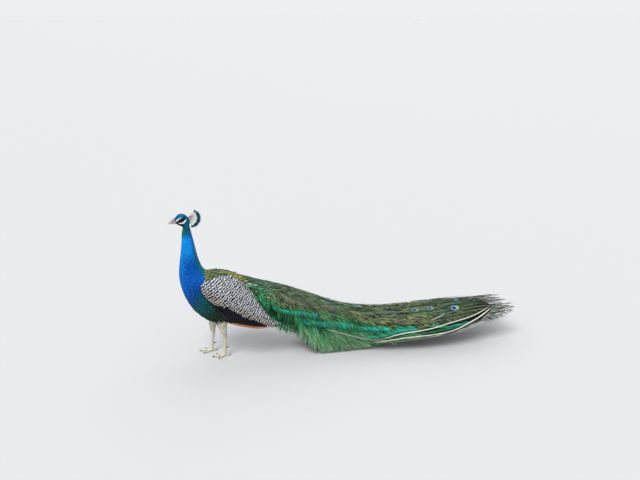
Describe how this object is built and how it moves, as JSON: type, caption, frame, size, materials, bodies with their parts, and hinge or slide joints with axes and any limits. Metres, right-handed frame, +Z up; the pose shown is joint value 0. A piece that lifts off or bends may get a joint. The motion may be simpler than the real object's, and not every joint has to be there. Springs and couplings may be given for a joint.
{
  "type": "peacock model",
  "caption": "Life-size museum-style model of a standing peacock, head up, crest fanned and its long eyed train folded back to the ground.",
  "frame": {"origin": "bottom centre of the bird's box, on the ground under the train", "axes": "+Z up, -Y towards the bill, +Y along the train to its tip, +X to the bird's left side"},
  "size_m": [0.3586, 1.9266, 0.8249],
  "materials": {
    "bill": "grey horn with a pale gape edge",
    "eye": "wet dark brown",
    "crest": "bare grey shafts with dark blue-green webs",
    "blue_plumage": "iridescent cobalt blue feathers",
    "teal_plumage": "dark blue-green feathers, glossy",
    "gold_green_plumage": "metallic golden-green scale feathers",
    "train_plumage": "bronze-green barbs on pale shafts, with eyed tips",
    "fringe": "loose emerald barbs",
    "tail_plumage": "dull brown quills",
    "barred_plumage": "cream feathers barred with black",
    "midnight_plumage": "blue-black quills",
    "chestnut_plumage": "chestnut quills",
    "buff_plumage": "soft buff feathers",
    "scutes": "pale scaly skin",
    "claws": "dark horn"
  },
  "bodies": {
    "root": {"bill_upper": "bill", "bill_lower": "bill", "eye_left": "eye", "eye_right": "eye", "head": "blue_plumage", "crest": "crest", "neck_upper": "blue_plumage", "neck_lower": "blue_plumage", "breast": "blue_plumage", "trunk": "teal_plumage", "rump": "gold_green_plumage", "train_root": "train_plumage", "train_middle": "train_plumage", "train_end": "train_plumage", "train_tip_1": "train_plumage", "train_tip_2": "train_plumage", "train_tip_3": "train_plumage", "train_tip_4": "train_plumage", "train_tip_5": "train_plumage", "train_tip_6": "train_plumage", "train_tip_7": "train_plumage", "train_tip_8": "train_plumage", "train_tip_9": "train_plumage", "train_tip_10": "train_plumage", "train_tip_11": "train_plumage", "fringe_left": "fringe", "fringe_right": "fringe", "tail": "tail_plumage", "wing_left_coverts": "barred_plumage", "wing_left_secondaries": "midnight_plumage", "wing_left_primaries": "chestnut_plumage", "wing_right_coverts": "barred_plumage", "wing_right_secondaries": "midnight_plumage", "wing_right_primaries": "chestnut_plumage", "thigh_left": "buff_plumage", "shank_left": "scutes", "foot_left": "scutes", "claw_left_middle": "claws", "claw_left_inner": "claws", "claw_left_outer": "claws", "claw_left_hind": "claws", "spur_left": "claws", "thigh_right": "buff_plumage", "shank_right": "scutes", "foot_right": "scutes", "claw_right_middle": "claws", "claw_right_inner": "claws", "claw_right_outer": "claws", "claw_right_hind": "claws", "spur_right": "claws"}
  },
  "joints": []
}
